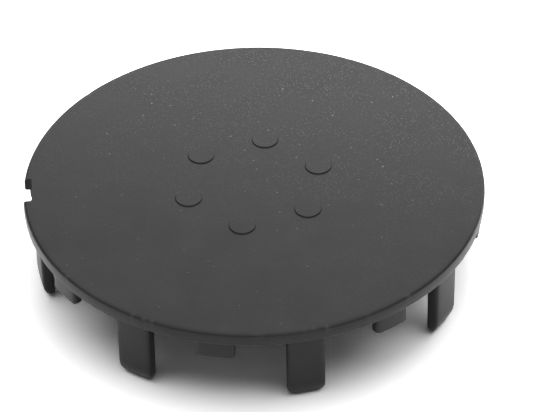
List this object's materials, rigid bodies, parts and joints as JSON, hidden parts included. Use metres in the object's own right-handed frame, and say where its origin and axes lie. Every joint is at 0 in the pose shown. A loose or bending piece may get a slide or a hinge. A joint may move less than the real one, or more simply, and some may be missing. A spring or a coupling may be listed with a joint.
{
  "type": "hub dust cap",
  "caption": "Round black plastic hub dust cap with long spring legs that push into a wheel's centre bore, short stops between them and a prising notch in the rim.",
  "frame": {"origin": "on the cap's axis, in the plane of the tips of the long legs, which it stands on", "axes": "+Z along the axis from the leg tips to the face; a stop lies on each of the X and Y axes, and the prising notch is near -X"},
  "size_m": [0.06, 0.06, 0.0121],
  "materials": {
    "black_plastic": "charcoal black moulded plastic with a fine spark-eroded grain, matt with a low sheen, a little dust on the face"
  },
  "bodies": {
    "root": {"hub_cap": "black_plastic"}
  },
  "joints": []
}
